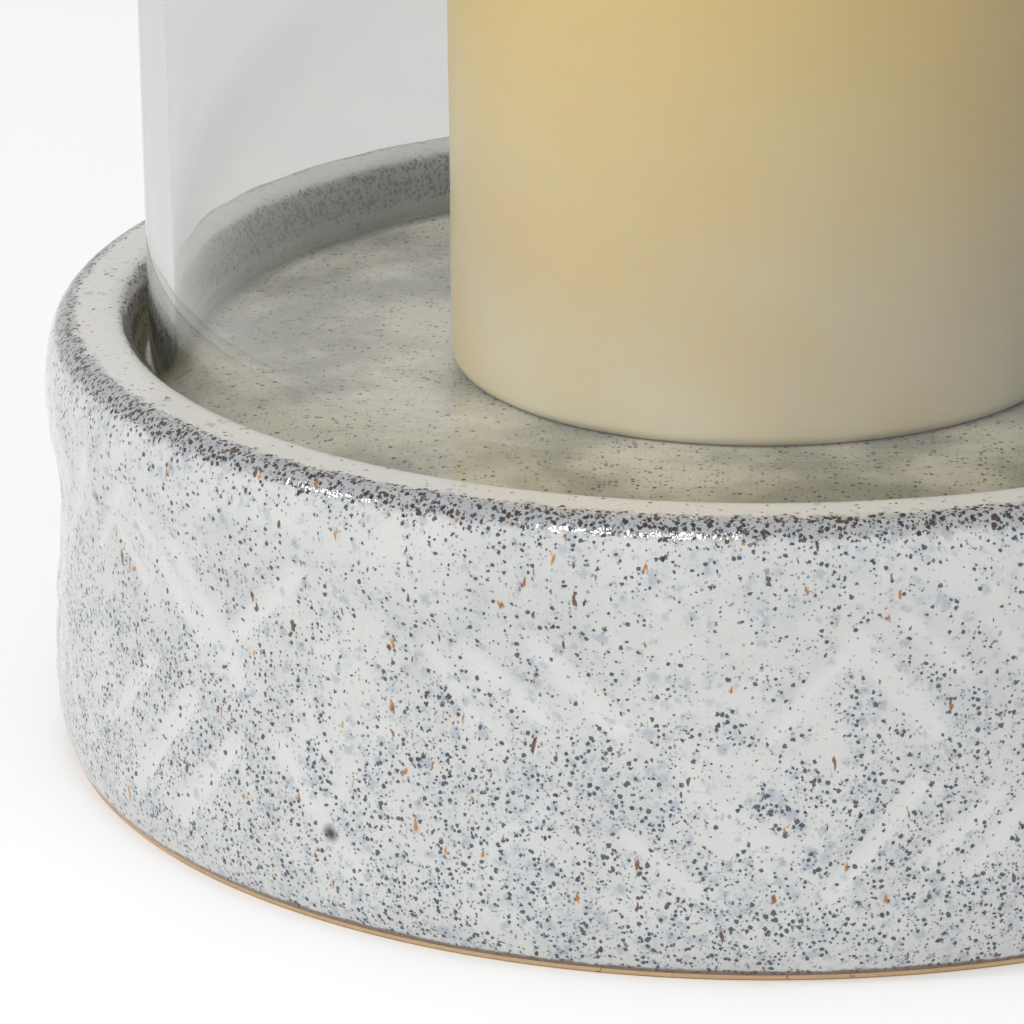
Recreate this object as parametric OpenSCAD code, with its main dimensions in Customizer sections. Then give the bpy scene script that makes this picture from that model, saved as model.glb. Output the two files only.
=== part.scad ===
// Pillar candle holder: a glazed stoneware drum with a shallow tray on top, a
// plain glass chimney that stands in the tray, and a pillar candle inside it.
// Millimetres. The origin is on the table, under the centre of the drum, +Z up.

/* [Stoneware base] */
// Outer radius of the drum at its widest, on the lip under the rim
base_r = 87.8; // [86:0.2:92]
// Height of the drum, from the table to the top of the rim
base_h = 54; // [50:1:64]
// How far the drum draws in at its waist
waist_draw = 1.3; // [0.5:0.1:3]
// How much smaller the belly, low on the wall, is than the lip
belly_draw = 0.1; // [0:0.1:1.5]
// Thickness of the fired wall at the foot ring
wall_t = 8; // [7:0.5:10]
// Depth of the tray below the top of the rim
tray_depth = 7.5; // [6:0.5:10]
// Thickness of the deck that carries the candle
deck_t = 8.5; // [7:0.5:11]
// Gap all round between the glass and the wall of the tray
tray_gap = 2; // [1:0.5:3]

/* [Glass chimney] */
// Outer radius of the glass tube
glass_r = 75; // [70:0.5:75.5]
// Wall thickness of the glass tube
glass_t = 3.2; // [2.5:0.1:4.5]
// Length of the glass tube
glass_h = 220; // [180:5:300]

/* [Pillar candle] */
// Radius of the candle
candle_r = 38; // [30:0.5:45]
// Height of the wax, without the wick
candle_h = 150; // [80:5:160]
// Length of wick that stands out of the wax
wick_out = 11; // [6:1:14]

/* [Hidden] */
$fn = 96;

belly_r = base_r - belly_draw;
waist_r = base_r - waist_draw;
lip_z = base_h - 7.5;             // the lip is widest here, and the rim rolls over above it
waist_z = 0.61 * base_h;
belly_z = 0.17 * base_h;
foot_z = 1;                       // the glaze stops here, above the bare clay
corner_in = 1.1;                  // the wall turns in this much below the belly
foot_r = belly_r - corner_in - 0.3;
rim_round = 3.8;                  // width of the rim's outer roll
tray_r = glass_r + tray_gap;
tray_round = 3;                   // the rim's inner roll
tray_z = base_h - tray_depth;     // the floor that the glass and the candle stand on
tray_fillet = 2;                  // where the floor turns up into the wall
hollow_z = tray_z - deck_t;       // ceiling of the hollow underside
hollow_r = foot_r - wall_t;       // radius of the hollow at the foot
hollow_draft = 2.5;               // it narrows this much towards its ceiling
hollow_fillet = 7;

rest_z = tray_z;                  // the glass and the candle rest here
wax_corner = 1.6;                 // the candle's worn lower edge
wax_shoulder = 2.4;               // and its softer upper edge
wax_dish = 1.2;                   // the dip in the wax round the wick
wick_r = 1.3;
sustainer_r = 9;
sustainer_t = 0.4;
sustainer_neck_r = 2.3;
sustainer_neck_h = 4;
fit_gap = 0.1;                    // all round the wick and its sustainer, in the wax

// Points of an oval arc about [x, y], a wide and b high, from angle from to angle to.
function oval(x, y, a, b, from, to, n = 8) =
    [for (i = [0:n]) let (t = from + (to - from) * i / n) [x + a * cos(t), y + b * sin(t)]];

function arc(x, y, r, from, to, n = 8) = oval(x, y, r, r, from, to, n);

// An easy bend from radius r0 at height z0 to radius r1 at height z1.
function bend(r0, z0, r1, z1, n = 7) =
    [for (i = [1:n]) let (t = i / n) [r0 + (r1 - r0) * (1 - cos(180 * t)) / 2, z0 + (z1 - z0) * t]];

// The corner above the foot: the wall turns out to the belly, ever more upright.
foot_corner = [for (t = [0:0.2:1]) [belly_r - corner_in * pow(1 - t, 2.5), foot_z + (belly_z - foot_z) * t]];

module stoneware_base() {
    color([0.86, 0.87, 0.87])
    rotate_extrude()
    polygon(concat(
        [[hollow_r, 0], [foot_r, 0], [foot_r, foot_z * 0.6]],
        foot_corner,
        bend(belly_r, belly_z, waist_r, waist_z),
        bend(waist_r, waist_z, base_r, lip_z),
        oval(base_r - rim_round, lip_z, rim_round, base_h - lip_z, 9, 90, 9),
        arc(tray_r + tray_round, base_h - tray_round, tray_round, 90, 180),
        arc(tray_r - tray_fillet, tray_z + tray_fillet, tray_fillet, 360, 270),
        [[0, tray_z], [0, hollow_z]],
        arc(hollow_r - hollow_draft - hollow_fillet, hollow_z - hollow_fillet, hollow_fillet, 90, 0)
    ));
}

// A plain tube with both ends melted round.
module glass_chimney() {
    end_r = glass_t / 2;
    middle_r = glass_r - end_r;
    color([0.85, 0.93, 0.9, 0.35])
    translate([0, 0, rest_z])
    rotate_extrude() {
        translate([middle_r - end_r, end_r]) square([glass_t, glass_h - glass_t]);
        translate([middle_r, end_r]) circle(end_r, $fn = 24);
        translate([middle_r, glass_h - end_r]) circle(end_r, $fn = 24);
    }
}

// The wax, with the wick's hole through it and a seat for the sustainer below.
module candle_wax() {
    color([0.85, 0.76, 0.55])
    translate([0, 0, rest_z])
    difference() {
        rotate_extrude()
        polygon(concat(
            [[0, 0]],
            arc(candle_r - wax_corner, wax_corner, wax_corner, 270, 360),
            arc(candle_r - wax_shoulder, candle_h - wax_shoulder, wax_shoulder, 0, 90),
            [[candle_r * 0.55, candle_h - wax_dish * 0.35], [wick_r * 2, candle_h - wax_dish],
             [0, candle_h - wax_dish]]
        ));
        translate([0, 0, -1]) cylinder(r = wick_r + fit_gap, h = candle_h + 2);
        translate([0, 0, -1]) cylinder(r = sustainer_r + fit_gap, h = 1 + sustainer_t + fit_gap);
        translate([0, 0, -1]) cylinder(r = sustainer_neck_r + fit_gap, h = 1 + sustainer_neck_h + fit_gap);
    }
}

// Stiff cotton braid: it stands in the sustainer's neck and out of the wax.
module candle_wick() {
    color([0.93, 0.91, 0.84])
    translate([0, 0, rest_z + sustainer_t + fit_gap])
    cylinder(r = wick_r, h = candle_h - sustainer_t - fit_gap + wick_out, $fn = 32);
}

// A pressed tin disc with a short neck that holds the wick's foot.
module wick_sustainer() {
    color([0.75, 0.75, 0.77])
    translate([0, 0, rest_z]) {
        cylinder(r = sustainer_r, h = sustainer_t);
        difference() {
            cylinder(r = sustainer_neck_r, h = sustainer_neck_h);
            translate([0, 0, sustainer_t]) cylinder(r = wick_r + fit_gap / 2, h = sustainer_neck_h);
        }
    }
}

stoneware_base();
glass_chimney();
candle_wax();
candle_wick();
wick_sustainer();
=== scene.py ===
# %% [markdown]
# # A pillar candle holder
# A stoneware drum with a shallow tray, a clear glass chimney that stands loose in the
# tray, and a pillar candle inside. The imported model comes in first: it says where every
# piece is and how big it is, so the pieces made here take their sizes from it.

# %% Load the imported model
import math
import random

import bpy
import numpy as np
from mathutils import Matrix, Vector


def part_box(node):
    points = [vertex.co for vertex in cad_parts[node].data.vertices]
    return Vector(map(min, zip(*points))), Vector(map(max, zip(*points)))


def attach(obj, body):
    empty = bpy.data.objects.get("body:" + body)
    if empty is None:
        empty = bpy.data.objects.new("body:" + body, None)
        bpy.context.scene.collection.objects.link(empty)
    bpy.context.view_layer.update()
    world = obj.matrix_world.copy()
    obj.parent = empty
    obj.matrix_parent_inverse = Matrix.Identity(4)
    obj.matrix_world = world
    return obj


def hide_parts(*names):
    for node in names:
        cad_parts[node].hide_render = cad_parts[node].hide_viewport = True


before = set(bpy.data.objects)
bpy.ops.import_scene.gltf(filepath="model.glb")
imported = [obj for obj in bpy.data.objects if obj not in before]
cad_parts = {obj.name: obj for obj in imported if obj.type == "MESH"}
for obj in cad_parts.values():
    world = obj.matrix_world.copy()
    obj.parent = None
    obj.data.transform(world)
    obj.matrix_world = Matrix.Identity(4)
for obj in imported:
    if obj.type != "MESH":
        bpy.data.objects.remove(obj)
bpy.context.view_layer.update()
MM = 0.001


def reach(node):
    """A round node's radius, its lowest height and its highest height."""
    low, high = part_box(node)
    return high.x, low.z, high.z


drum_radius, _, rim_height = reach("stoneware_base")
glass_radius, tray_height, glass_top = reach("glass_chimney")
candle_radius, candle_foot, candle_top = reach("candle_wax")
print(f"drum {drum_radius * 2:.3f} m across and {rim_height:.3f} m high, tray floor at {tray_height:.4f} m")

# %% [markdown]
# ## The camera
# A long lens that looks down on the rim, so close that the drum's left half fills the
# view. The camera is aimed with its three own angles instead of at a target, because the
# drum's axis stands well to the right of the view's middle.

# %% Set up the camera
camera_back = 667 * MM
camera_up = 259 * MM
camera_turn = math.radians(2.66)
camera_tilt = math.radians(19.31)
camera_roll = math.radians(-0.81)
bpy.ops.object.select_all(action="DESELECT")
bpy.ops.object.camera_add()
camera = bpy.context.object
camera.matrix_world = (
    Matrix.Translation((0, -camera_back, camera_up))
    @ Matrix.Rotation(camera_turn, 4, "Z")
    @ Matrix.Rotation(math.pi / 2 - camera_tilt, 4, "X")
    @ Matrix.Rotation(camera_roll, 4, "Z")
)
camera.data.sensor_width = 36
camera.data.lens = 200
camera.data.clip_start = 0.01
bpy.context.scene.camera = camera
print("camera at", [round(value, 3) for value in camera.location])

# %% [markdown]
# ## The studio
# A pale sheet of paper that runs level under the object, white walls all round, and three
# small lamps: one high on the left, and two high in front. The walls give the even light.
# The lamps give the short bright glints along the rim, because a glossy roll mirrors each
# lamp in one spot.

# %% Lay the floor and hang the lamps
bpy.context.scene.view_settings.view_transform = "Standard"


def plain_material(name, colour, roughness):
    material = bpy.data.materials.new(name)
    material.use_nodes = True
    shader = material.node_tree.nodes["Principled BSDF"]
    shader.inputs["Base Color"].default_value = (*colour, 1)
    shader.inputs["Roughness"].default_value = roughness
    return material


bpy.ops.object.select_all(action="DESELECT")
bpy.ops.mesh.primitive_plane_add(size=6)
floor = bpy.context.object
floor.name = "studio_floor"
floor.data.materials.append(plain_material("pale paper", (0.95, 0.95, 0.95), 0.9))

world = bpy.data.worlds.new("white studio")
world.use_nodes = True
world.node_tree.nodes["Background"].inputs["Color"].default_value = (1.0, 1.0, 1.0, 1)
world.node_tree.nodes["Background"].inputs["Strength"].default_value = 0.77
bpy.context.scene.world = world


def lamp(name, towards, distance, wide, tall, watts):
    """A softbox that hangs in the direction given and looks at the tray."""
    target = Vector((0, 0, tray_height))
    place = target + Vector(towards).normalized() * distance
    bpy.ops.object.light_add(type="AREA", location=place)
    light = bpy.context.object
    light.name = name
    light.data.shape = "RECTANGLE"
    light.data.size = wide
    light.data.size_y = tall
    light.data.energy = watts
    light.rotation_euler = (target - place).to_track_quat("-Z", "Y").to_euler()


lamp("left lamp", (-0.80, -0.20, 0.56), 1.3, 0.10, 0.10, 2.2)
lamp("top lamp", (-0.38, -0.62, 0.68), 1.3, 0.10, 0.18, 2.9)
lamp("front lamp", (-0.17, -0.70, 0.70), 1.3, 0.10, 0.18, 2.9)
print("studio ready")

# %% [markdown]
# ## Turning on the wheel
# Every piece here is round about one upright axis, so each is drawn once as an outline and
# spun. The outline is drawn as a potter would read it: one point, extruded from place to
# place. Long stretches are cut into short steps, so that they can be shaped later, and the
# underside, which stays plain, into longer ones.

# %% Helpers that draw an outline and spin it
TURN = 2 * math.pi


def arc(centre, radius, start, end, steps=8):
    """Points of an arc, as (radius from the axis, height), with its angles in degrees."""
    angles = [math.radians(start + (end - start) * i / steps) for i in range(steps + 1)]
    return [(centre[0] + radius * math.cos(a), centre[1] + radius * math.sin(a)) for a in angles]


def stepped(outline, longest):
    """The same outline with no step longer than the length given."""
    result = [outline[0]]
    for start, end in zip(outline, outline[1:]):
        cuts = max(1, math.ceil(math.dist(start, end) / longest))
        result += [
            tuple(a + (b - a) * i / cuts for a, b in zip(start, end)) for i in range(1, cuts + 1)
        ]
    return result


def spun(name, outline, columns):
    """Draws the outline from one point by extruding it, then turns it once round the axis."""
    weld = 0.002 * MM
    bpy.ops.object.select_all(action="DESELECT")
    bpy.ops.mesh.primitive_plane_add(size=MM)
    piece = bpy.context.object
    piece.name = name
    bpy.ops.object.mode_set(mode="EDIT")
    bpy.ops.mesh.select_all(action="SELECT")
    bpy.ops.mesh.merge(type="CENTER")
    bpy.ops.transform.translate(value=(outline[0][0], 0, outline[0][1]))
    for (r0, z0), (r1, z1) in zip(outline, outline[1:]):
        bpy.ops.mesh.extrude_region_move(TRANSFORM_OT_translate={"value": (r1 - r0, 0, z1 - z0)})
    bpy.ops.object.mode_set(mode="OBJECT")
    turn = piece.modifiers.new("turn", "SCREW")
    turn.steps = columns
    turn.render_steps = columns
    turn.use_merge_vertices = True
    turn.merge_threshold = weld
    bpy.ops.object.modifier_apply(modifier=turn.name)
    bpy.ops.object.mode_set(mode="EDIT")
    bpy.ops.mesh.select_all(action="SELECT")
    bpy.ops.mesh.remove_doubles(threshold=weld)
    bpy.ops.mesh.normals_make_consistent(inside=False)
    bpy.ops.object.mode_set(mode="OBJECT")
    bpy.ops.object.shade_smooth()
    print(f"{name}: {len(piece.data.polygons)} faces")
    return piece


def points_of(piece):
    """A piece's vertices as an array of x, y, z rows."""
    places = np.empty(len(piece.data.vertices) * 3, np.float32)
    piece.data.vertices.foreach_get("co", places)
    return places.reshape(-1, 3)


def weigh(piece, name, weights):
    """Keeps one number a vertex, as a vertex group for modifiers and an attribute for materials."""
    attribute = piece.data.attributes.new(name, "FLOAT", "POINT")
    attribute.data.foreach_set("value", weights.astype(np.float32))
    group = piece.vertex_groups.new(name=name)
    levels = 32
    for level in range(1, levels + 1):
        chosen = np.flatnonzero(np.round(weights * levels) == level)
        if len(chosen):
            group.add(chosen.tolist(), level / levels, "REPLACE")


def swell(piece, group, height, texture=None, middle=0.0):
    """Pushes the surface out along its normals with a Displace modifier, and applies it."""
    bpy.context.view_layer.objects.active = piece
    modifier = piece.modifiers.new("swell", "DISPLACE")
    modifier.strength = height
    modifier.mid_level = middle
    modifier.vertex_group = group
    if texture:
        modifier.texture = texture
        modifier.texture_coords = "LOCAL"
    bpy.ops.object.modifier_apply(modifier=modifier.name)


def lumps(name, size):
    """A soft cloud pattern whose lumps are about as big as the size given."""
    texture = bpy.data.textures.new(name, "CLOUDS")
    texture.noise_scale = size
    texture.noise_depth = 1
    return texture


# %% [markdown]
# ## The drum
# The real drum is thrown or jiggered as one piece: a wall about 8 mm thick, a fat rolled
# rim, a tray turned into the top, and a hollow underneath so that no clay is thicker than
# a finger. The wall draws in a little at its waist. Its foot is wiped clean of glaze.

# %% Spin the drum's shape
def bend(start, end, steps=7):
    """An easy bend from one (radius, height) to the next, upright at both."""
    eased = [((1 - math.cos(math.pi * i / steps)) / 2, i / steps) for i in range(1, steps + 1)]
    return [(start[0] + (end[0] - start[0]) * a, start[1] + (end[1] - start[1]) * b) for a, b in eased]


waist_draw = 1.3 * MM
belly_draw = 0.1 * MM
roll_height = 7.5 * MM
waist = (drum_radius - waist_draw, 0.61 * rim_height)
belly = (drum_radius - belly_draw, 0.17 * rim_height)
lip = (drum_radius, rim_height - roll_height)
roll_width = 3.8 * MM
glaze_edge = 1 * MM
turned_in = 1.1 * MM
glaze_step = 0.3 * MM
foot_radius = belly[0] - turned_in - glaze_step
tray_gap = 2 * MM
tray_radius = glass_radius + tray_gap
inner_roll = 3 * MM
tray_corner = 2 * MM
deck = 8.5 * MM
wall = 8 * MM
hollow_radius = foot_radius - wall
hollow_top = tray_height - deck
corner = 7 * MM
lean = 2.5 * MM


def on_shoulder(degrees):
    """A point of the rim's outer roll, which is taller than it is wide."""
    a = math.radians(degrees)
    return (lip[0] - roll_width * (1 - math.cos(a)), lip[1] + (rim_height - lip[1]) * math.sin(a))


def on_inner_roll(degrees):
    """A point of the rim's inner roll: 90 is its top and 180 the wall of the tray."""
    a = math.radians(degrees)
    return (tray_radius + inner_roll * (1 + math.cos(a)), rim_height - inner_roll * (1 - math.sin(a)))


underside = (
    [(0, hollow_top)]
    + arc((hollow_radius - lean - corner, hollow_top - corner), corner, 90, 0, 6)
    + [(hollow_radius, 0.6 * MM), (hollow_radius + 0.6 * MM, 0), (foot_radius - 0.4 * MM, 0)]
)
outside = (
    [(foot_radius, 0.3 * MM), (foot_radius, 0.7 * MM)]
    + [
        (belly[0] - turned_in * (1 - i / 6) ** 2.5, glaze_edge + (belly[1] - glaze_edge) * i / 6)
        for i in range(7)
    ]
    + bend(belly, waist)
    + bend(waist, lip)
    + [on_shoulder(degrees) for degrees in range(6, 91, 6)]
    + [on_inner_roll(degrees) for degrees in range(90, 181, 10)]
    + arc((tray_radius - tray_corner, tray_height + tray_corner), tray_corner, 0, -90, 5)
)
columns = 540
tray_floor = [(60 * MM, tray_height), (30 * MM, tray_height), (0, tray_height)]
outline = stepped(underside, 8 * MM) + stepped(outside, 0.95 * MM) + tray_floor
drum = spun("glazed_drum", outline, columns)

# %% [markdown]
# ## The carved strokes
# Before the glaze went on, short slanting strokes were cut into the soft wall, rising one
# way in one row and the other way in the next. They could be painted as a bump, but their
# hollows show on the outline of the real thing, so each stroke is cut into the mesh. How
# deep each vertex lies in a stroke is kept, because the glaze pools white there.

# %% Cut the strokes into the wall
places = points_of(drum)
around = np.arctan2(places[:, 1], places[:, 0])
height = places[:, 2]
from_axis = np.hypot(places[:, 0], places[:, 1])
on_wall = (from_axis > lip[0] - roll_width) & (height > glaze_edge)
draw = random.Random(11)
rows = (0.30, 0.68)
blocks = 22
strokes_a_block = 3
left_out = 0.3
carved = np.zeros(len(places))
cut = 0
for row, row_height in enumerate(rows):
    for stroke in range(blocks * strokes_a_block):
        block = stroke // strokes_a_block
        if draw.random() < left_out:
            continue
        slope = math.radians(draw.uniform(38, 56)) * (1 if (block + row) % 2 else -1)
        middle = (stroke + draw.uniform(-0.25, 0.25)) / (blocks * strokes_a_block) * TURN
        level = rim_height * (row_height + draw.uniform(-0.07, 0.07))
        half_length = draw.uniform(4, 8.5) * MM
        half_width = draw.uniform(1.6, 3.0) * MM
        strength = draw.uniform(0.3, 1)
        across = ((around - middle + math.pi) % TURN - math.pi) * drum_radius
        up = height - level
        along = across * math.cos(slope) + up * math.sin(slope)
        aside = -across * math.sin(slope) + up * math.cos(slope)
        past_end = np.clip(np.abs(along) - half_length, 0, None) * 0.6
        depth = np.clip(1 - np.hypot(aside, past_end) / half_width, 0, 1)
        carved = np.maximum(carved, depth * depth * (3 - 2 * depth) * strength)
        cut += 1
carved = np.where(on_wall, carved, 0)
weigh(drum, "carved", carved)
swell(drum, "carved", -0.5 * MM)
print(f"{cut} strokes cut")

# %% [markdown]
# ## Lumps under the glaze
# A hand-finished wall is never quite even. Two soft cloud patterns push it in and out by a
# few tenths of a millimetre, and by a tenth of that over the rim. They fade to nothing at
# the foot and on the tray floor, which were turned flat so that the drum, the glass and
# the candle all stand level.

# %% Make the wall and the rim uneven
on_rim = 0.1
above_foot = np.clip((height - glaze_edge) / (4 * MM), 0, 1)
below_crest = np.clip((lip[1] + 6 * MM - height) / (7 * MM), on_rim, 1)
uneven = np.where(from_axis > lip[0] - roll_width, above_foot * below_crest, on_rim)
beside_floor = (from_axis > tray_radius - tray_corner) & (height > tray_height)
uneven = np.where(on_wall | beside_floor, uneven, 0)
weigh(drum, "uneven", uneven)
swell(drum, "uneven", 0.9 * MM, lumps("broad lumps", 14 * MM), 0.5)
swell(drum, "uneven", 0.35 * MM, lumps("small lumps", 4 * MM), 0.5)

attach(drum, "base")
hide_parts("stoneware_base")
print("drum box", [round(v, 4) for v in drum.dimensions])

# %% [markdown]
# ## Wiring helpers for materials
# Materials are graphs of small nodes. These helpers place a node, feed it with plain
# numbers or with other nodes' results, and return what it puts out, so that a recipe
# reads from top to bottom.


# %% Short names for the nodes used most
def place_node(tree, kind, **settings):
    made = tree.nodes.new("ShaderNode" + kind)
    for name, value in settings.items():
        setattr(made, name, value)
    return made


def feed(tree, socket, value):
    if isinstance(value, bpy.types.NodeSocket):
        tree.links.new(value, socket)
    else:
        socket.default_value = value


def sum_of(tree, operation, *values):
    """A Math node."""
    made = place_node(tree, "Math", operation=operation)
    for socket, value in zip(made.inputs, values):
        feed(tree, socket, value)
    return made.outputs[0]


def fade(tree, value, low, high, start=0.0, end=1.0):
    """A Map Range node: from start to end as the value goes from low to high, smoothly."""
    made = place_node(tree, "MapRange", interpolation_type="SMOOTHSTEP")
    names = ("Value", "From Min", "From Max", "To Min", "To Max")
    for name, number in zip(names, (value, low, high, start, end)):
        feed(tree, made.inputs[name], number)
    return made.outputs["Result"]


def blend(tree, amount, below, above):
    """A Mix Color node."""
    made = place_node(tree, "Mix", data_type="RGBA")
    feed(tree, made.inputs["Factor"], amount)
    feed(tree, made.inputs["A"], below)
    feed(tree, made.inputs["B"], above)
    return made.outputs["Result"]


def cloud(tree, vector, scale, detail=3.0, roughness=0.55):
    """A Noise Texture's value."""
    made = place_node(tree, "TexNoise")
    feed(tree, made.inputs["Vector"], vector)
    feed(tree, made.inputs["Scale"], scale)
    made.inputs["Detail"].default_value = detail
    made.inputs["Roughness"].default_value = roughness
    return made.outputs["Fac"]


def roughen(tree, shader, height, strength, distance):
    """A Bump node: the shader sees the surface raised by up to the distance given."""
    bump = place_node(tree, "Bump")
    bump.inputs["Strength"].default_value = strength
    bump.inputs["Distance"].default_value = distance
    feed(tree, bump.inputs["Height"], height)
    feed(tree, shader["Normal"], bump.outputs[0])


def split(tree, vector):
    """A Separate XYZ node's three results."""
    parts = place_node(tree, "SeparateXYZ")
    feed(tree, parts.inputs[0], vector)
    return parts.outputs


def own_place(tree):
    """The Object coordinates, in metres."""
    return place_node(tree, "TexCoord").outputs["Object"]


def colour(red, green, blue):
    """A colour given in the 0 to 255 steps of a paint chart, as light."""
    steps = [value / 255 for value in (red, green, blue)]
    return (*[s / 12.92 if s <= 0.04045 else ((s + 0.055) / 1.055) ** 2.4 for s in steps], 1)


def new_group(name, inputs, outputs):
    """An empty node group, with its way in and its way out."""
    group = bpy.data.node_groups.new(name, "ShaderNodeTree")
    for label, kind, value in inputs:
        socket = group.interface.new_socket(label, in_out="INPUT", socket_type="NodeSocket" + kind)
        if value is not None:
            socket.default_value = value
    for label, kind in outputs:
        group.interface.new_socket(label, in_out="OUTPUT", socket_type="NodeSocket" + kind)
    way_in = group.nodes.new("NodeGroupInput")
    way_out = group.nodes.new("NodeGroupOutput")
    return group, way_in.outputs, way_out.inputs


def use_group(tree, group, **values):
    """Places a group in a material. An underscore in a name stands for a space."""
    made = tree.nodes.new("ShaderNodeGroup")
    made.node_tree = group
    for name, value in values.items():
        feed(tree, made.inputs[name.replace("_", " ")], value)
    return made.outputs


def new_material(name):
    material = bpy.data.materials.new(name)
    material.use_nodes = True
    tree = material.node_tree
    return material, tree, tree.nodes["Principled BSDF"].inputs


# %% [markdown]
# ## Specks
# Iron in the clay burns through a glaze as specks of many sizes, each round but ragged.
# A Voronoi texture scatters one point in every cell. Here a cell shows its point only if
# its own random number is under the chance given, so the chance can change from place to
# place: dense along an edge, rare where the glaze is thick. The wax uses it too, for dust.

# %% Build the speck group
speck_group, given, result = new_group(
    "Specks",
    [
        ("Vector", "Vector", None),
        ("Cell", "Float", 1.0),
        ("Size", "Float", 0.3),
        ("Chance", "Float", 0.3),
        ("Ragged", "Float", 0.75),
    ],
    [("Mask", "Float"), ("Core", "Float"), ("Halo", "Float"), ("Luck", "Float")],
)
tree = speck_group
scale = sum_of(tree, "DIVIDE", 1000.0, given["Cell"])
ragged = place_node(tree, "TexNoise")
feed(tree, ragged.inputs["Vector"], given["Vector"])
feed(tree, ragged.inputs["Scale"], sum_of(tree, "MULTIPLY", scale, 1.9))
ragged.inputs["Detail"].default_value = 1
shift = place_node(tree, "VectorMath", operation="SUBTRACT")
feed(tree, shift.inputs[0], ragged.outputs["Color"])
shift.inputs[1].default_value = (0.5, 0.5, 0.5)
push = place_node(tree, "VectorMath", operation="SCALE")
feed(tree, push.inputs[0], shift.outputs[0])
feed(tree, push.inputs["Scale"], sum_of(tree, "DIVIDE", given["Ragged"], scale))
moved = place_node(tree, "VectorMath", operation="ADD")
feed(tree, moved.inputs[0], given["Vector"])
feed(tree, moved.inputs[1], push.outputs[0])
cells = place_node(tree, "TexVoronoi")
feed(tree, cells.inputs["Vector"], moved.outputs[0])
feed(tree, cells.inputs["Scale"], scale)
luck = place_node(tree, "SeparateColor")
feed(tree, luck.inputs[0], cells.outputs["Color"])
shown = fade(tree, sum_of(tree, "SUBTRACT", given["Chance"], luck.outputs[0]), -0.03, 0.03)
spread = sum_of(tree, "MULTIPLY_ADD", sum_of(tree, "POWER", luck.outputs[1], 1.8), 0.7, 0.3)
radius = sum_of(tree, "MULTIPLY", given["Size"], spread)
edge = sum_of(tree, "SUBTRACT", radius, cells.outputs["Distance"])
feed(tree, result["Mask"], sum_of(tree, "MULTIPLY", shown, fade(tree, edge, -0.03, 0.05)))
feed(tree, result["Core"], sum_of(tree, "MULTIPLY", shown, fade(tree, edge, 0.07, 0.17)))
feed(tree, result["Halo"], sum_of(tree, "MULTIPLY", shown, fade(tree, edge, -0.30, 0.25)))
feed(tree, result["Luck"], luck.outputs[2])


def scatter(tree, vector, cell, size, chance, ragged=0.75):
    """Specks in cells of so many millimetres. The size is a share of the cell."""
    values = {"Vector": vector, "Cell": cell, "Size": size, "Chance": chance, "Ragged": ragged}
    return use_group(tree, speck_group, **values)



# %% [markdown]
# ## Bands along an edge
# Glaze runs thin over a corner and shows the dark body under it. To know how near a point
# is to a corner that runs all round, this group measures in the slice through the axis:
# how far out the point is, how high it is, and so how far it is from the corner's circle.

# %% Build the edge distance group
edge_group, given, result = new_group(
    "Distance to ring",
    [("Vector", "Vector", None), ("Radius", "Float", 0.0), ("Height", "Float", 0.0)],
    [("Millimetres", "Float"), ("From axis", "Float"), ("Up", "Float")],
)
tree = edge_group


def hypotenuse(one, other):
    """The long side of a right-angled triangle, from its two short sides."""
    squares = sum_of(tree, "MULTIPLY", one, one), sum_of(tree, "MULTIPLY", other, other)
    return sum_of(tree, "SQRT", sum_of(tree, "ADD", *squares))


x, y, z = split(tree, given["Vector"])
flat = hypotenuse(x, y)
out = sum_of(tree, "SUBTRACT", flat, given["Radius"])
up = sum_of(tree, "SUBTRACT", z, given["Height"])
for label, metres in (("Millimetres", hypotenuse(out, up)), ("From axis", flat), ("Up", z)):
    feed(tree, result[label], sum_of(tree, "MULTIPLY", metres, 1000.0))

# %% [markdown]
# ## The reactive glaze
# The glaze is a thick milky white that turns blue-grey where it is thinner. Fine navy
# specks gather in clouds between the strokes, and a few coarse black ones, rare blots and
# short rust-coloured runs lie among them. On the outer shoulder and on the inner edge of
# the rim it breaks to nearly black. The tray is greyer. Its corner, under the glass's foot,
# gets a painted olive shade.

# %% Measure where on the drum a point lies
glaze, tree, shader = new_material("reactive glaze")
here = own_place(tree)
break_radius, break_height = on_shoulder(68)
shoulder = use_group(tree, edge_group, Vector=here, Radius=break_radius, Height=break_height)
break_radius, break_height = on_inner_roll(176)
inner_edge = use_group(tree, edge_group, Vector=here, Radius=break_radius, Height=break_height)
carve = place_node(tree, "Attribute", attribute_name="carved").outputs["Fac"]
broad = cloud(tree, here, 60, 3)
patches = cloud(tree, here, 210, 4, 0.65)
fine = cloud(tree, here, 900, 2)
wander = sum_of(tree, "MULTIPLY_ADD", cloud(tree, here, 380, 4, 0.7), 3.2, -1.6)
up, out = shoulder["Up"], shoulder["From axis"]

break_outer = fade(tree, sum_of(tree, "ADD", shoulder["Millimetres"], wander), 2.3, 1.0)
below_break = fade(tree, sum_of(tree, "ADD", shoulder["Millimetres"], wander), 6.5, 1.5)
inner_wander = sum_of(tree, "MULTIPLY_ADD", wander, 0.7, inner_edge["Millimetres"])
break_inner = fade(tree, inner_wander, 3.2, 1.8)
edges = sum_of(tree, "MAXIMUM", break_outer, break_inner)
in_tray = fade(tree, out, on_inner_roll(120)[0] / MM, on_inner_roll(140)[0] / MM)
on_floor = fade(tree, out, tray_radius / MM - 0.6, (tray_radius - tray_corner) / MM)
tray_wall = sum_of(tree, "MULTIPLY", in_tray, sum_of(tree, "SUBTRACT", 1.0, on_floor))
crest = fade(tree, up, on_shoulder(72)[1] / MM, on_shoulder(82)[1] / MM)
rim_top = sum_of(tree, "MULTIPLY", crest, fade(tree, in_tray, 0, 1, 1, 0))

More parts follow.
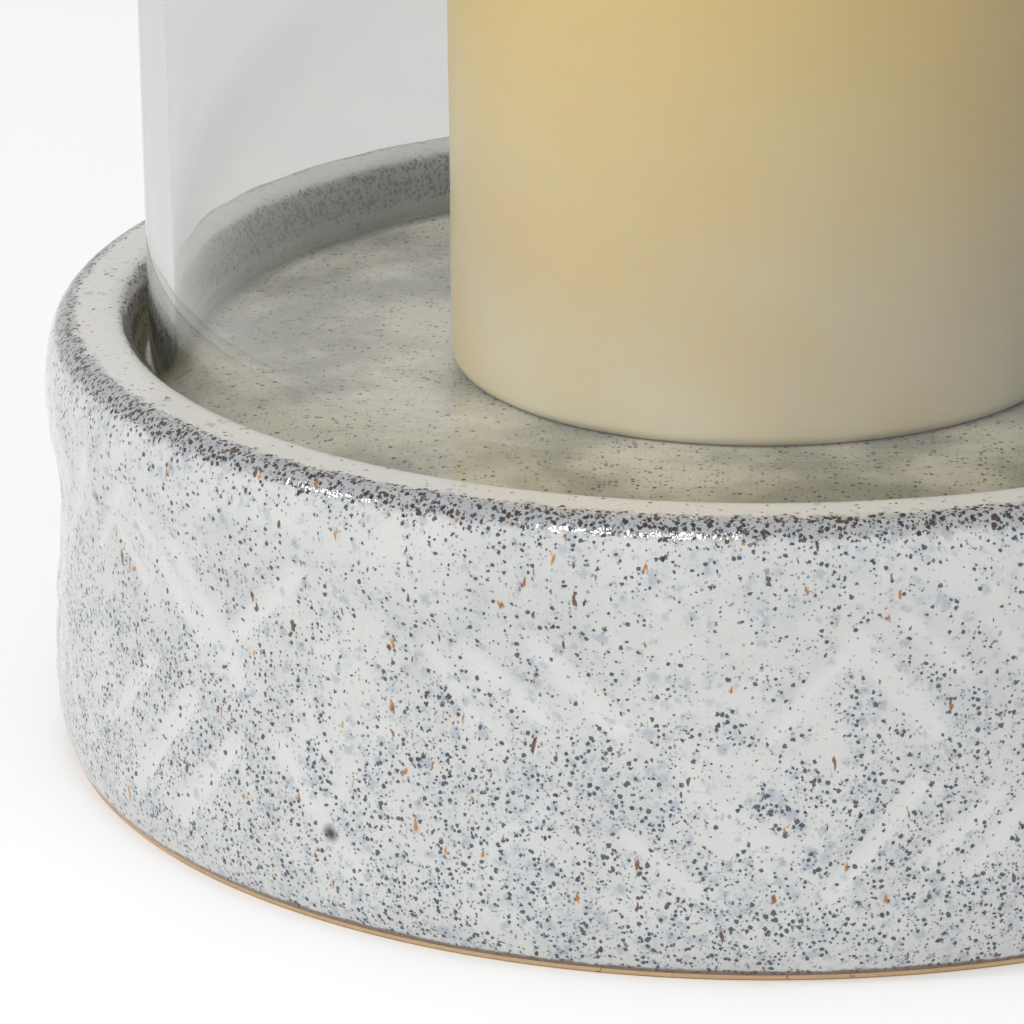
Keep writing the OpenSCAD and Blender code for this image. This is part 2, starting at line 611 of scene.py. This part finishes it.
# %% Say how many specks there are, and scatter them
crowd = sum_of(tree, "MULTIPLY_ADD", patches, 0.72, sum_of(tree, "MULTIPLY", broad, 0.42))
crowd = fade(tree, crowd, 0.40, 0.62)
crowd = sum_of(tree, "MULTIPLY", crowd, fade(tree, up, 46.0, 6.0, 0.45, 1.55))
crowd = sum_of(tree, "MULTIPLY_ADD", fade(tree, up, 16.0, 2.0), 0.40, crowd)
crowd = sum_of(tree, "MULTIPLY", crowd, fade(tree, carve, 0.05, 0.60, 1.0, 0.15))
crowd = sum_of(tree, "MULTIPLY_ADD", below_break, 0.38, crowd)
crowd = sum_of(tree, "MULTIPLY", crowd, fade(tree, rim_top, 0.0, 1.0, 1.0, 0.02))
crowd = sum_of(tree, "MAXIMUM", crowd, sum_of(tree, "MULTIPLY", in_tray, 0.3))
crowd = sum_of(tree, "MAXIMUM", crowd, edges)
smudges = scatter(tree, here, 1.5, 0.46, sum_of(tree, "MULTIPLY_ADD", crowd, 0.90, 0.12), 0.9)
dust = scatter(tree, here, 0.50, 0.46, sum_of(tree, "MULTIPLY_ADD", crowd, 0.95, 0.06), 0.5)
grains = scatter(tree, here, 0.64, 0.48, sum_of(tree, "MULTIPLY_ADD", crowd, 0.92, 0.02), 0.6)
coarse = scatter(tree, here, 1.2, 0.30, sum_of(tree, "MULTIPLY", crowd, 0.22), 0.8)
scorch = scatter(tree, here, 0.58, 0.70, sum_of(tree, "MULTIPLY", edges, 0.95), 0.8)
blots = scatter(tree, here, 17.0, 0.085, 0.40, 0.05)
tall = place_node(tree, "Mapping")
tall.inputs["Scale"].default_value = (1, 1, 0.38)
feed(tree, tall.inputs["Vector"], here)
rust_chance = sum_of(tree, "MULTIPLY_ADD", fade(tree, broad, 0.4, 0.7), 0.45, 0.22)
rust_chance = sum_of(tree, "MULTIPLY", rust_chance, fade(tree, in_tray, 0.0, 1.0, 1.0, 0.3))
rust = scatter(tree, tall.outputs[0], 1.15, 0.27, rust_chance, 0.8)

# %% Lay the colours over each other, from the milky ground to the darkest specks
milk = blend(tree, fade(tree, broad, 0.35, 0.68), colour(198, 199, 196), colour(190, 191, 189))
milk = blend(tree, fade(tree, patches, 0.45, 0.70, 0.0, 0.35), milk, colour(164, 169, 177))
milk = blend(tree, fade(tree, carve, 0.05, 0.7, 0.0, 0.9), milk, colour(203, 204, 202))
milk = blend(tree, rim_top, milk, colour(207, 205, 199))
floor_glaze = blend(tree, fade(tree, broad, 0.36, 0.64), colour(195, 190, 175), colour(144, 142, 131))
milk = blend(tree, in_tray, milk, floor_glaze)
milk = blend(tree, sum_of(tree, "MULTIPLY", tray_wall, 0.75), milk, colour(178, 176, 164))
# Painted shade: an olive band darkens the tray's corner, under the glass's foot and in the gap beside it.
# It stands in for the shade there and for the glass's green end.
by_wall = sum_of(tree, "MULTIPLY", fade(tree, out, 70.0, 76.5), fade(tree, up, 48.2, 47.2))
painted_corner_shade = sum_of(tree, "MULTIPLY", in_tray, by_wall)
milk = blend(tree, sum_of(tree, "MULTIPLY", painted_corner_shade, 0.85), milk, colour(122, 120, 92))
milk = blend(tree, sum_of(tree, "MULTIPLY", edges, 0.55), milk, colour(124, 125, 127))
pale = fade(tree, in_tray, 0.0, 1.0, 0.55, 0.15)
milk = blend(tree, sum_of(tree, "MULTIPLY", smudges["Halo"], pale), milk, colour(138, 147, 162))
dust_depth = fade(tree, dust["Luck"], 0, 1, 0.3, 0.75)
milk = blend(tree, sum_of(tree, "MULTIPLY", dust["Mask"], dust_depth), milk, colour(72, 82, 104))
milk = blend(tree, sum_of(tree, "MULTIPLY", grains["Halo"], 0.42), milk, colour(116, 130, 153))
brown_share = sum_of(tree, "MULTIPLY_ADD", sum_of(tree, "MAXIMUM", edges, in_tray), 0.6, 0.10)
brown = sum_of(tree, "LESS_THAN", grains["Luck"], brown_share)
navy_or_brown = blend(tree, brown, colour(18, 24, 38), colour(54, 32, 20))
milk = blend(tree, sum_of(tree, "MULTIPLY", grains["Mask"], 0.90), milk, navy_or_brown)
milk = blend(tree, sum_of(tree, "MULTIPLY", grains["Core"], 0.16), milk, colour(150, 152, 156))
milk = blend(tree, sum_of(tree, "MULTIPLY", coarse["Mask"], 0.92), milk, colour(28, 32, 42))
scorch_tone = blend(tree, fade(tree, scorch["Luck"], 0.3, 0.6), colour(24, 26, 36), colour(58, 34, 20))
milk = blend(tree, sum_of(tree, "MULTIPLY", scorch["Mask"], 0.95), milk, scorch_tone)
rust_tone = blend(tree, fade(tree, rust["Luck"], 0.3, 0.8), colour(178, 116, 32), colour(88, 47, 16))
rust_tone = blend(tree, sum_of(tree, "MULTIPLY", rust["Core"], 0.8), rust_tone, colour(78, 40, 20))
milk = blend(tree, sum_of(tree, "MULTIPLY", rust["Mask"], 0.9), milk, rust_tone)
milk = blend(tree, sum_of(tree, "MULTIPLY", blots["Mask"], 0.97), milk, colour(18, 24, 32))
brown_line = fade(tree, sum_of(tree, "MULTIPLY_ADD", wander, 0.3, up), 1.6, 1.2)
milk = blend(tree, sum_of(tree, "MULTIPLY", brown_line, 0.85), milk, colour(92, 66, 44))
feed(tree, shader["Base Color"], milk)

# %% Give the glaze its gloss and its skin
specks = sum_of(tree, "MAXIMUM", sum_of(tree, "MAXIMUM", grains["Mask"], coarse["Mask"]), scorch["Mask"])
gloss = fade(tree, patches, 0.3, 0.7, 0.05, 0.10)
feed(tree, shader["Roughness"], sum_of(tree, "MULTIPLY_ADD", specks, 0.05, gloss))
skin = sum_of(tree, "MULTIPLY_ADD", patches, 0.9, sum_of(tree, "MULTIPLY", fine, 0.10))
skin = sum_of(tree, "MULTIPLY_ADD", specks, -0.05, skin)
skin = sum_of(tree, "MULTIPLY", skin, fade(tree, in_tray, 0.0, 1.0, 1.0, 0.25))
skin = sum_of(tree, "MULTIPLY", skin, fade(tree, rim_top, 0.0, 1.0, 1.0, 0.4))
roughen(tree, shader, skin, 0.5, 0.5 * MM)
shader["IOR"].default_value = 1.52

# %% [markdown]
# ## Bare clay
# The foot and the underside have no glaze. The fired clay is a warm tan, matt and slightly
# sandy, with the same iron specks. It is a second material on the drum, given to the faces
# below the glaze line and inside the hollow, which are chosen by their place.

# %% Mix the clay and give it to the underside
clay, tree, shader = new_material("bare stoneware")
here = own_place(tree)
grit = cloud(tree, here, 1600, 3)
tone = blend(tree, cloud(tree, here, 130, 3), colour(214, 184, 142), colour(188, 156, 116))
sand = scatter(tree, here, 1.4, 0.30, 0.22)
tone = blend(tree, sum_of(tree, "MULTIPLY", sand["Mask"], 0.7), tone, colour(96, 70, 50))
feed(tree, shader["Base Color"], tone)
feed(tree, shader["Roughness"], fade(tree, grit, 0.3, 0.7, 0.7, 0.92))
roughen(tree, shader, grit, 0.5, 0.25 * MM)

drum.data.materials.append(glaze)
drum.data.materials.append(clay)
bare = 0
for face in drum.data.polygons:
    middle = face.center
    in_hollow = middle.z < hollow_top + 0.5 * MM and math.hypot(*middle.xy) < hollow_radius + MM
    under = in_hollow or middle.z < glaze_edge * 0.8
    face.material_index = 1 if under else 0
    bare += under
print(f"{bare} faces of bare clay")

# %% [markdown]
# ## The glass chimney
# A plain drawn tube with both ends melted round in a flame. Drawn glass is never dead
# even: its wall is a few hundredths of a millimetre thicker along some lines than along
# others, which shows as faint upright streaks in what is seen through it.

# %% Spin and streak the tube
glass_wall = 3.2 * MM
end = glass_wall / 2
glass_middle = glass_radius - end
tube_outline = (
    arc((glass_middle, tray_height + end), end, 180, 360, 12)
    + arc((glass_middle, glass_top - end), end, 0, 180, 12)
)
tube = spun("glass_tube", stepped(tube_outline + tube_outline[:1], 6 * MM), 256)
places = points_of(tube)
turned = np.arctan2(places[:, 1], places[:, 0])
streaks = 0.5 + 0.2 * np.sin(7 * turned) + 0.15 * np.sin(19 * turned + 1) + 0.15 * np.sin(43 * turned + 2)
away_from_ends = np.clip(np.minimum(places[:, 2] - tray_height, glass_top - places[:, 2]) / (8 * MM), 0, 1)
weigh(tube, "streaks", streaks * away_from_ends)
swell(tube, "streaks", -0.015 * MM)

# %% [markdown]
# ## Clear glass
# The tube is nearly colourless, with a faint grey that takes up a little light in its
# wall. At its two ends it is a soft sea green, because there the light has come a long way
# through the glass. A shader that lets lamps through for shadow rays keeps the tray bright
# without waiting for caustics to clear up.

# %% Mix the glass
clear, tree, shader = new_material("clear glass")
here = own_place(tree)
z = split(tree, here)["Z"]
from_foot = sum_of(tree, "SUBTRACT", z, tray_height)
from_top = sum_of(tree, "SUBTRACT", glass_top, z)
near_end = fade(tree, sum_of(tree, "MINIMUM", from_foot, from_top), 3.2 * MM, 0.6 * MM)
tint = blend(tree, near_end, (0.93, 0.93, 0.92, 1), (0.48, 0.55, 0.36, 1))
smears = cloud(tree, here, 70, 4, 0.6)
tint = blend(tree, fade(tree, smears, 0.52, 0.8, 0.0, 0.5), tint, (0.90, 0.90, 0.89, 1))
feed(tree, shader["Base Color"], tint)
shader["Roughness"].default_value = 0
shader["Transmission Weight"].default_value = 1
shader["IOR"].default_value = 1.5
through = place_node(tree, "BsdfTransparent")
through.inputs["Color"].default_value = (0.90, 0.91, 0.905, 1)
choice = place_node(tree, "MixShader")
feed(tree, choice.inputs[0], place_node(tree, "LightPath").outputs["Is Shadow Ray"])
feed(tree, choice.inputs[1], tree.nodes["Principled BSDF"].outputs[0])
feed(tree, choice.inputs[2], through.outputs[0])
feed(tree, tree.nodes["Material Output"].inputs["Surface"], choice.outputs[0])
body_of_glass = place_node(tree, "VolumeAbsorption")
body_of_glass.inputs["Color"].default_value = (0.45, 0.475, 0.455, 1)
body_of_glass.inputs["Density"].default_value = 62
feed(tree, tree.nodes["Material Output"].inputs["Volume"], body_of_glass.outputs[0])
tube.data.materials.append(clear)
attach(tube, "chimney")
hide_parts("glass_chimney")

# %% [markdown]
# ## The candle
# A pressed pillar of ivory wax: sharp enough to stand firmly, but with its lower edge
# worn round and a soft shoulder at the top. The top dips towards the wick, which stands
# in a narrow hole. A seat for the sustainer is cut into its foot. Small knocks are pushed
# into the side with the same kind of soft lumps.

# %% Spin the wax
foot_round = 1.6 * MM
shoulder_round = 2.4 * MM
dish = 1.2 * MM
wick_hole = 1.4 * MM
neck_radius, neck_top = 2.4 * MM, candle_foot + 4.1 * MM
disc_radius, disc_top = 9.1 * MM, candle_foot + 0.5 * MM
dish_steps = 8
dip = [dish * (1 - math.cos(math.pi * i / dish_steps)) / 2 for i in range(dish_steps + 1)]
wax_outline = (
    [(wick_hole, neck_top), (neck_radius, neck_top), (neck_radius, disc_top)]
    + [(disc_radius, disc_top), (disc_radius, candle_foot)]
    + arc((candle_radius - foot_round, candle_foot + foot_round), foot_round, -90, 0, 8)
    + arc((candle_radius - shoulder_round, candle_top - shoulder_round), shoulder_round, 0, 90, 8)
    + [(candle_radius * (0.9 - 0.1 * i), candle_top - depth) for i, depth in enumerate(dip)]
    + [(wick_hole * 1.4, candle_top - dish), (wick_hole, candle_top - dish - 0.4 * MM)]
)
wax = spun("ivory_pillar", stepped(wax_outline + wax_outline[:1], 2.5 * MM), 192)
places = points_of(wax)
side = np.clip(np.hypot(places[:, 0], places[:, 1]) / candle_radius * 8 - 6.8, 0, 1)
side *= np.clip((places[:, 2] - candle_foot) / (2 * MM), 0, 1)
weigh(wax, "side", side)
swell(wax, "side", 0.25 * MM, lumps("wax lumps", 22 * MM), 0.5)

# %% [markdown]
# ## Ivory wax
# Light goes into wax and comes out again a little way off, which softens every edge. So
# the shader scatters light under the surface. The wax's colour is painted paler at the foot,
# as painted light for the light that also comes in from below, and it has a few specks of
# dust and tiny pits.

# %% Mix the wax
ivory, tree, shader = new_material("ivory wax")
here = own_place(tree)
# Painted light: the wax's colour is made paler towards the foot, for the light that also comes in there
# from below.
painted_foot_light = fade(tree, split(tree, here)["Z"], candle_foot, candle_foot + 60 * MM)
wax_tone_and_foot_light = blend(tree, painted_foot_light, colour(221, 211, 185), colour(223, 194, 122))
honey = fade(tree, cloud(tree, here, 28, 3), 0.35, 0.7, 0.0, 0.5)
wax_tone_and_foot_light = blend(tree, honey, wax_tone_and_foot_light, colour(222, 188, 117))
flecks = scatter(tree, here, 7.0, 0.05, 0.30, 0.05)
dark_flecks = scatter(tree, here, 9.0, 0.028, 0.25, 0.03)
wax_tone_and_foot_light = blend(tree, sum_of(tree, "MULTIPLY", flecks["Mask"], 0.5), wax_tone_and_foot_light, colour(250, 244, 226))
wax_tone_and_foot_light = blend(tree, sum_of(tree, "MULTIPLY", dark_flecks["Mask"], 0.7), wax_tone_and_foot_light, colour(110, 84, 50))
feed(tree, shader["Base Color"], wax_tone_and_foot_light)
feed(tree, shader["Roughness"], fade(tree, cloud(tree, here, 120, 4), 0.3, 0.7, 0.34, 0.48))
shader["Subsurface Weight"].default_value = 0.45
shader["Subsurface Radius"].default_value = (1.0, 0.62, 0.28)
shader["Subsurface Scale"].default_value = 6 * MM
shader["IOR"].default_value = 1.44
pits = sum_of(tree, "MULTIPLY", cloud(tree, here, 260, 3), 0.35)
pits = sum_of(tree, "MULTIPLY_ADD", flecks["Mask"], -0.5, pits)
roughen(tree, shader, pits, 0.35, 0.3 * MM)
wax.data.materials.append(ivory)
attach(wax, "candle")
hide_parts("candle_wax")

# %% [markdown]
# ## The wick
# A candle's wick is a braid of cotton yarns. A plait of three is drawn as three curves:
# each swings from side to side in a figure of eight, a third of a turn behind the last,
# so that they pass over and under each other. The curves get a round thickness.

# %% Plait the wick
wick_width, wick_foot, wick_tip = reach("candle_wick")
yarn = wick_width * 0.46
swing = wick_width - yarn
plait_length = 5.2 * MM
steps_a_plait = 12
turns = (wick_tip - wick_foot) / plait_length
strands = []
for strand in range(3):
    bpy.ops.object.select_all(action="DESELECT")
    bpy.ops.curve.primitive_nurbs_path_add()
    yarn_curve = bpy.context.object
    curve = yarn_curve.data
    curve.splines.clear()
    spline = curve.splines.new("NURBS")
    count = int(turns * steps_a_plait) + 1
    spline.points.add(count - 1)
    for i, point in enumerate(spline.points):
        phase = TURN * (i / steps_a_plait + strand / 3)
        lift = wick_foot + yarn + (wick_tip - wick_foot - 2 * yarn) * i / (count - 1)
        point.co = (swing * math.sin(phase), 0.45 * swing * math.sin(2 * phase), lift, 1)
    spline.use_endpoint_u = True
    spline.resolution_u = 2
    curve.bevel_depth = yarn
    curve.bevel_resolution = 2
    curve.use_fill_caps = True
    bpy.ops.object.convert(target="MESH")
    strands.append(bpy.context.object)
bpy.ops.object.select_all(action="DESELECT")
for piece in strands:
    piece.select_set(True)
bpy.context.view_layer.objects.active = strands[0]
bpy.ops.object.join()
wick = bpy.context.object
wick.name = "braided_wick"
bpy.ops.object.transform_apply(location=True, rotation=True, scale=True)
bpy.ops.object.shade_smooth()
print(f"{wick.name}: {len(wick.data.polygons)} faces")

# %% Mix the waxed cotton
cotton, tree, shader = new_material("waxed cotton")
here = own_place(tree)
fibre = place_node(tree, "TexWave", wave_type="BANDS", bands_direction="DIAGONAL")
feed(tree, fibre.inputs["Vector"], here)
fibre.inputs["Scale"].default_value = 1400
fibre.inputs["Distortion"].default_value = 3
cotton_tone = blend(tree, fibre.outputs["Fac"], colour(214, 206, 184), colour(240, 235, 220))
waxed = fade(tree, cloud(tree, here, 300, 2), 0.4, 0.7, 0.0, 0.5)
cotton_tone = blend(tree, waxed, cotton_tone, colour(222, 204, 160))
feed(tree, shader["Base Color"], cotton_tone)
feed(tree, shader["Roughness"], fade(tree, fibre.outputs["Fac"], 0.0, 1.0, 0.55, 0.8))
roughen(tree, shader, fibre.outputs["Fac"], 0.6, 0.1 * MM)
wick.data.materials.append(cotton)
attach(wick, "candle")
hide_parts("candle_wick")

# %% [markdown]
# ## The sustainer
# The pressed tin disc under the wax has the right shape already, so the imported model's own
# piece stays and only gets a finish: bright tinplate, rubbed in circles by the press, with
# a bloom of dull grey and a few specks where wax has stuck to it.

# %% Finish the sustainer
tin, tree, shader = new_material("pressed tinplate")
here = own_place(tree)
rings = use_group(tree, edge_group, Vector=here, Radius=0.0, Height=candle_foot)
rubbed = cloud(tree, here, 420, 4)
grooves = sum_of(tree, "SINE", sum_of(tree, "MULTIPLY", rings["From axis"], 22.0))
stuck = scatter(tree, here, 1.6, 0.3, 0.2)
metal = blend(tree, fade(tree, rubbed, 0.35, 0.7), colour(206, 206, 208), colour(172, 172, 176))
metal = blend(tree, sum_of(tree, "MULTIPLY", stuck["Mask"], 0.6), metal, colour(214, 198, 160))
feed(tree, shader["Base Color"], metal)
feed(tree, shader["Metallic"], sum_of(tree, "SUBTRACT", 1.0, sum_of(tree, "MULTIPLY", stuck["Mask"], 0.8)))
feed(tree, shader["Roughness"], fade(tree, rubbed, 0.3, 0.7, 0.24, 0.42))
roughen(tree, shader, grooves, 0.25, 0.05 * MM)
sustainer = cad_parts["wick_sustainer"]
sustainer.data.materials.clear()
sustainer.data.materials.append(tin)
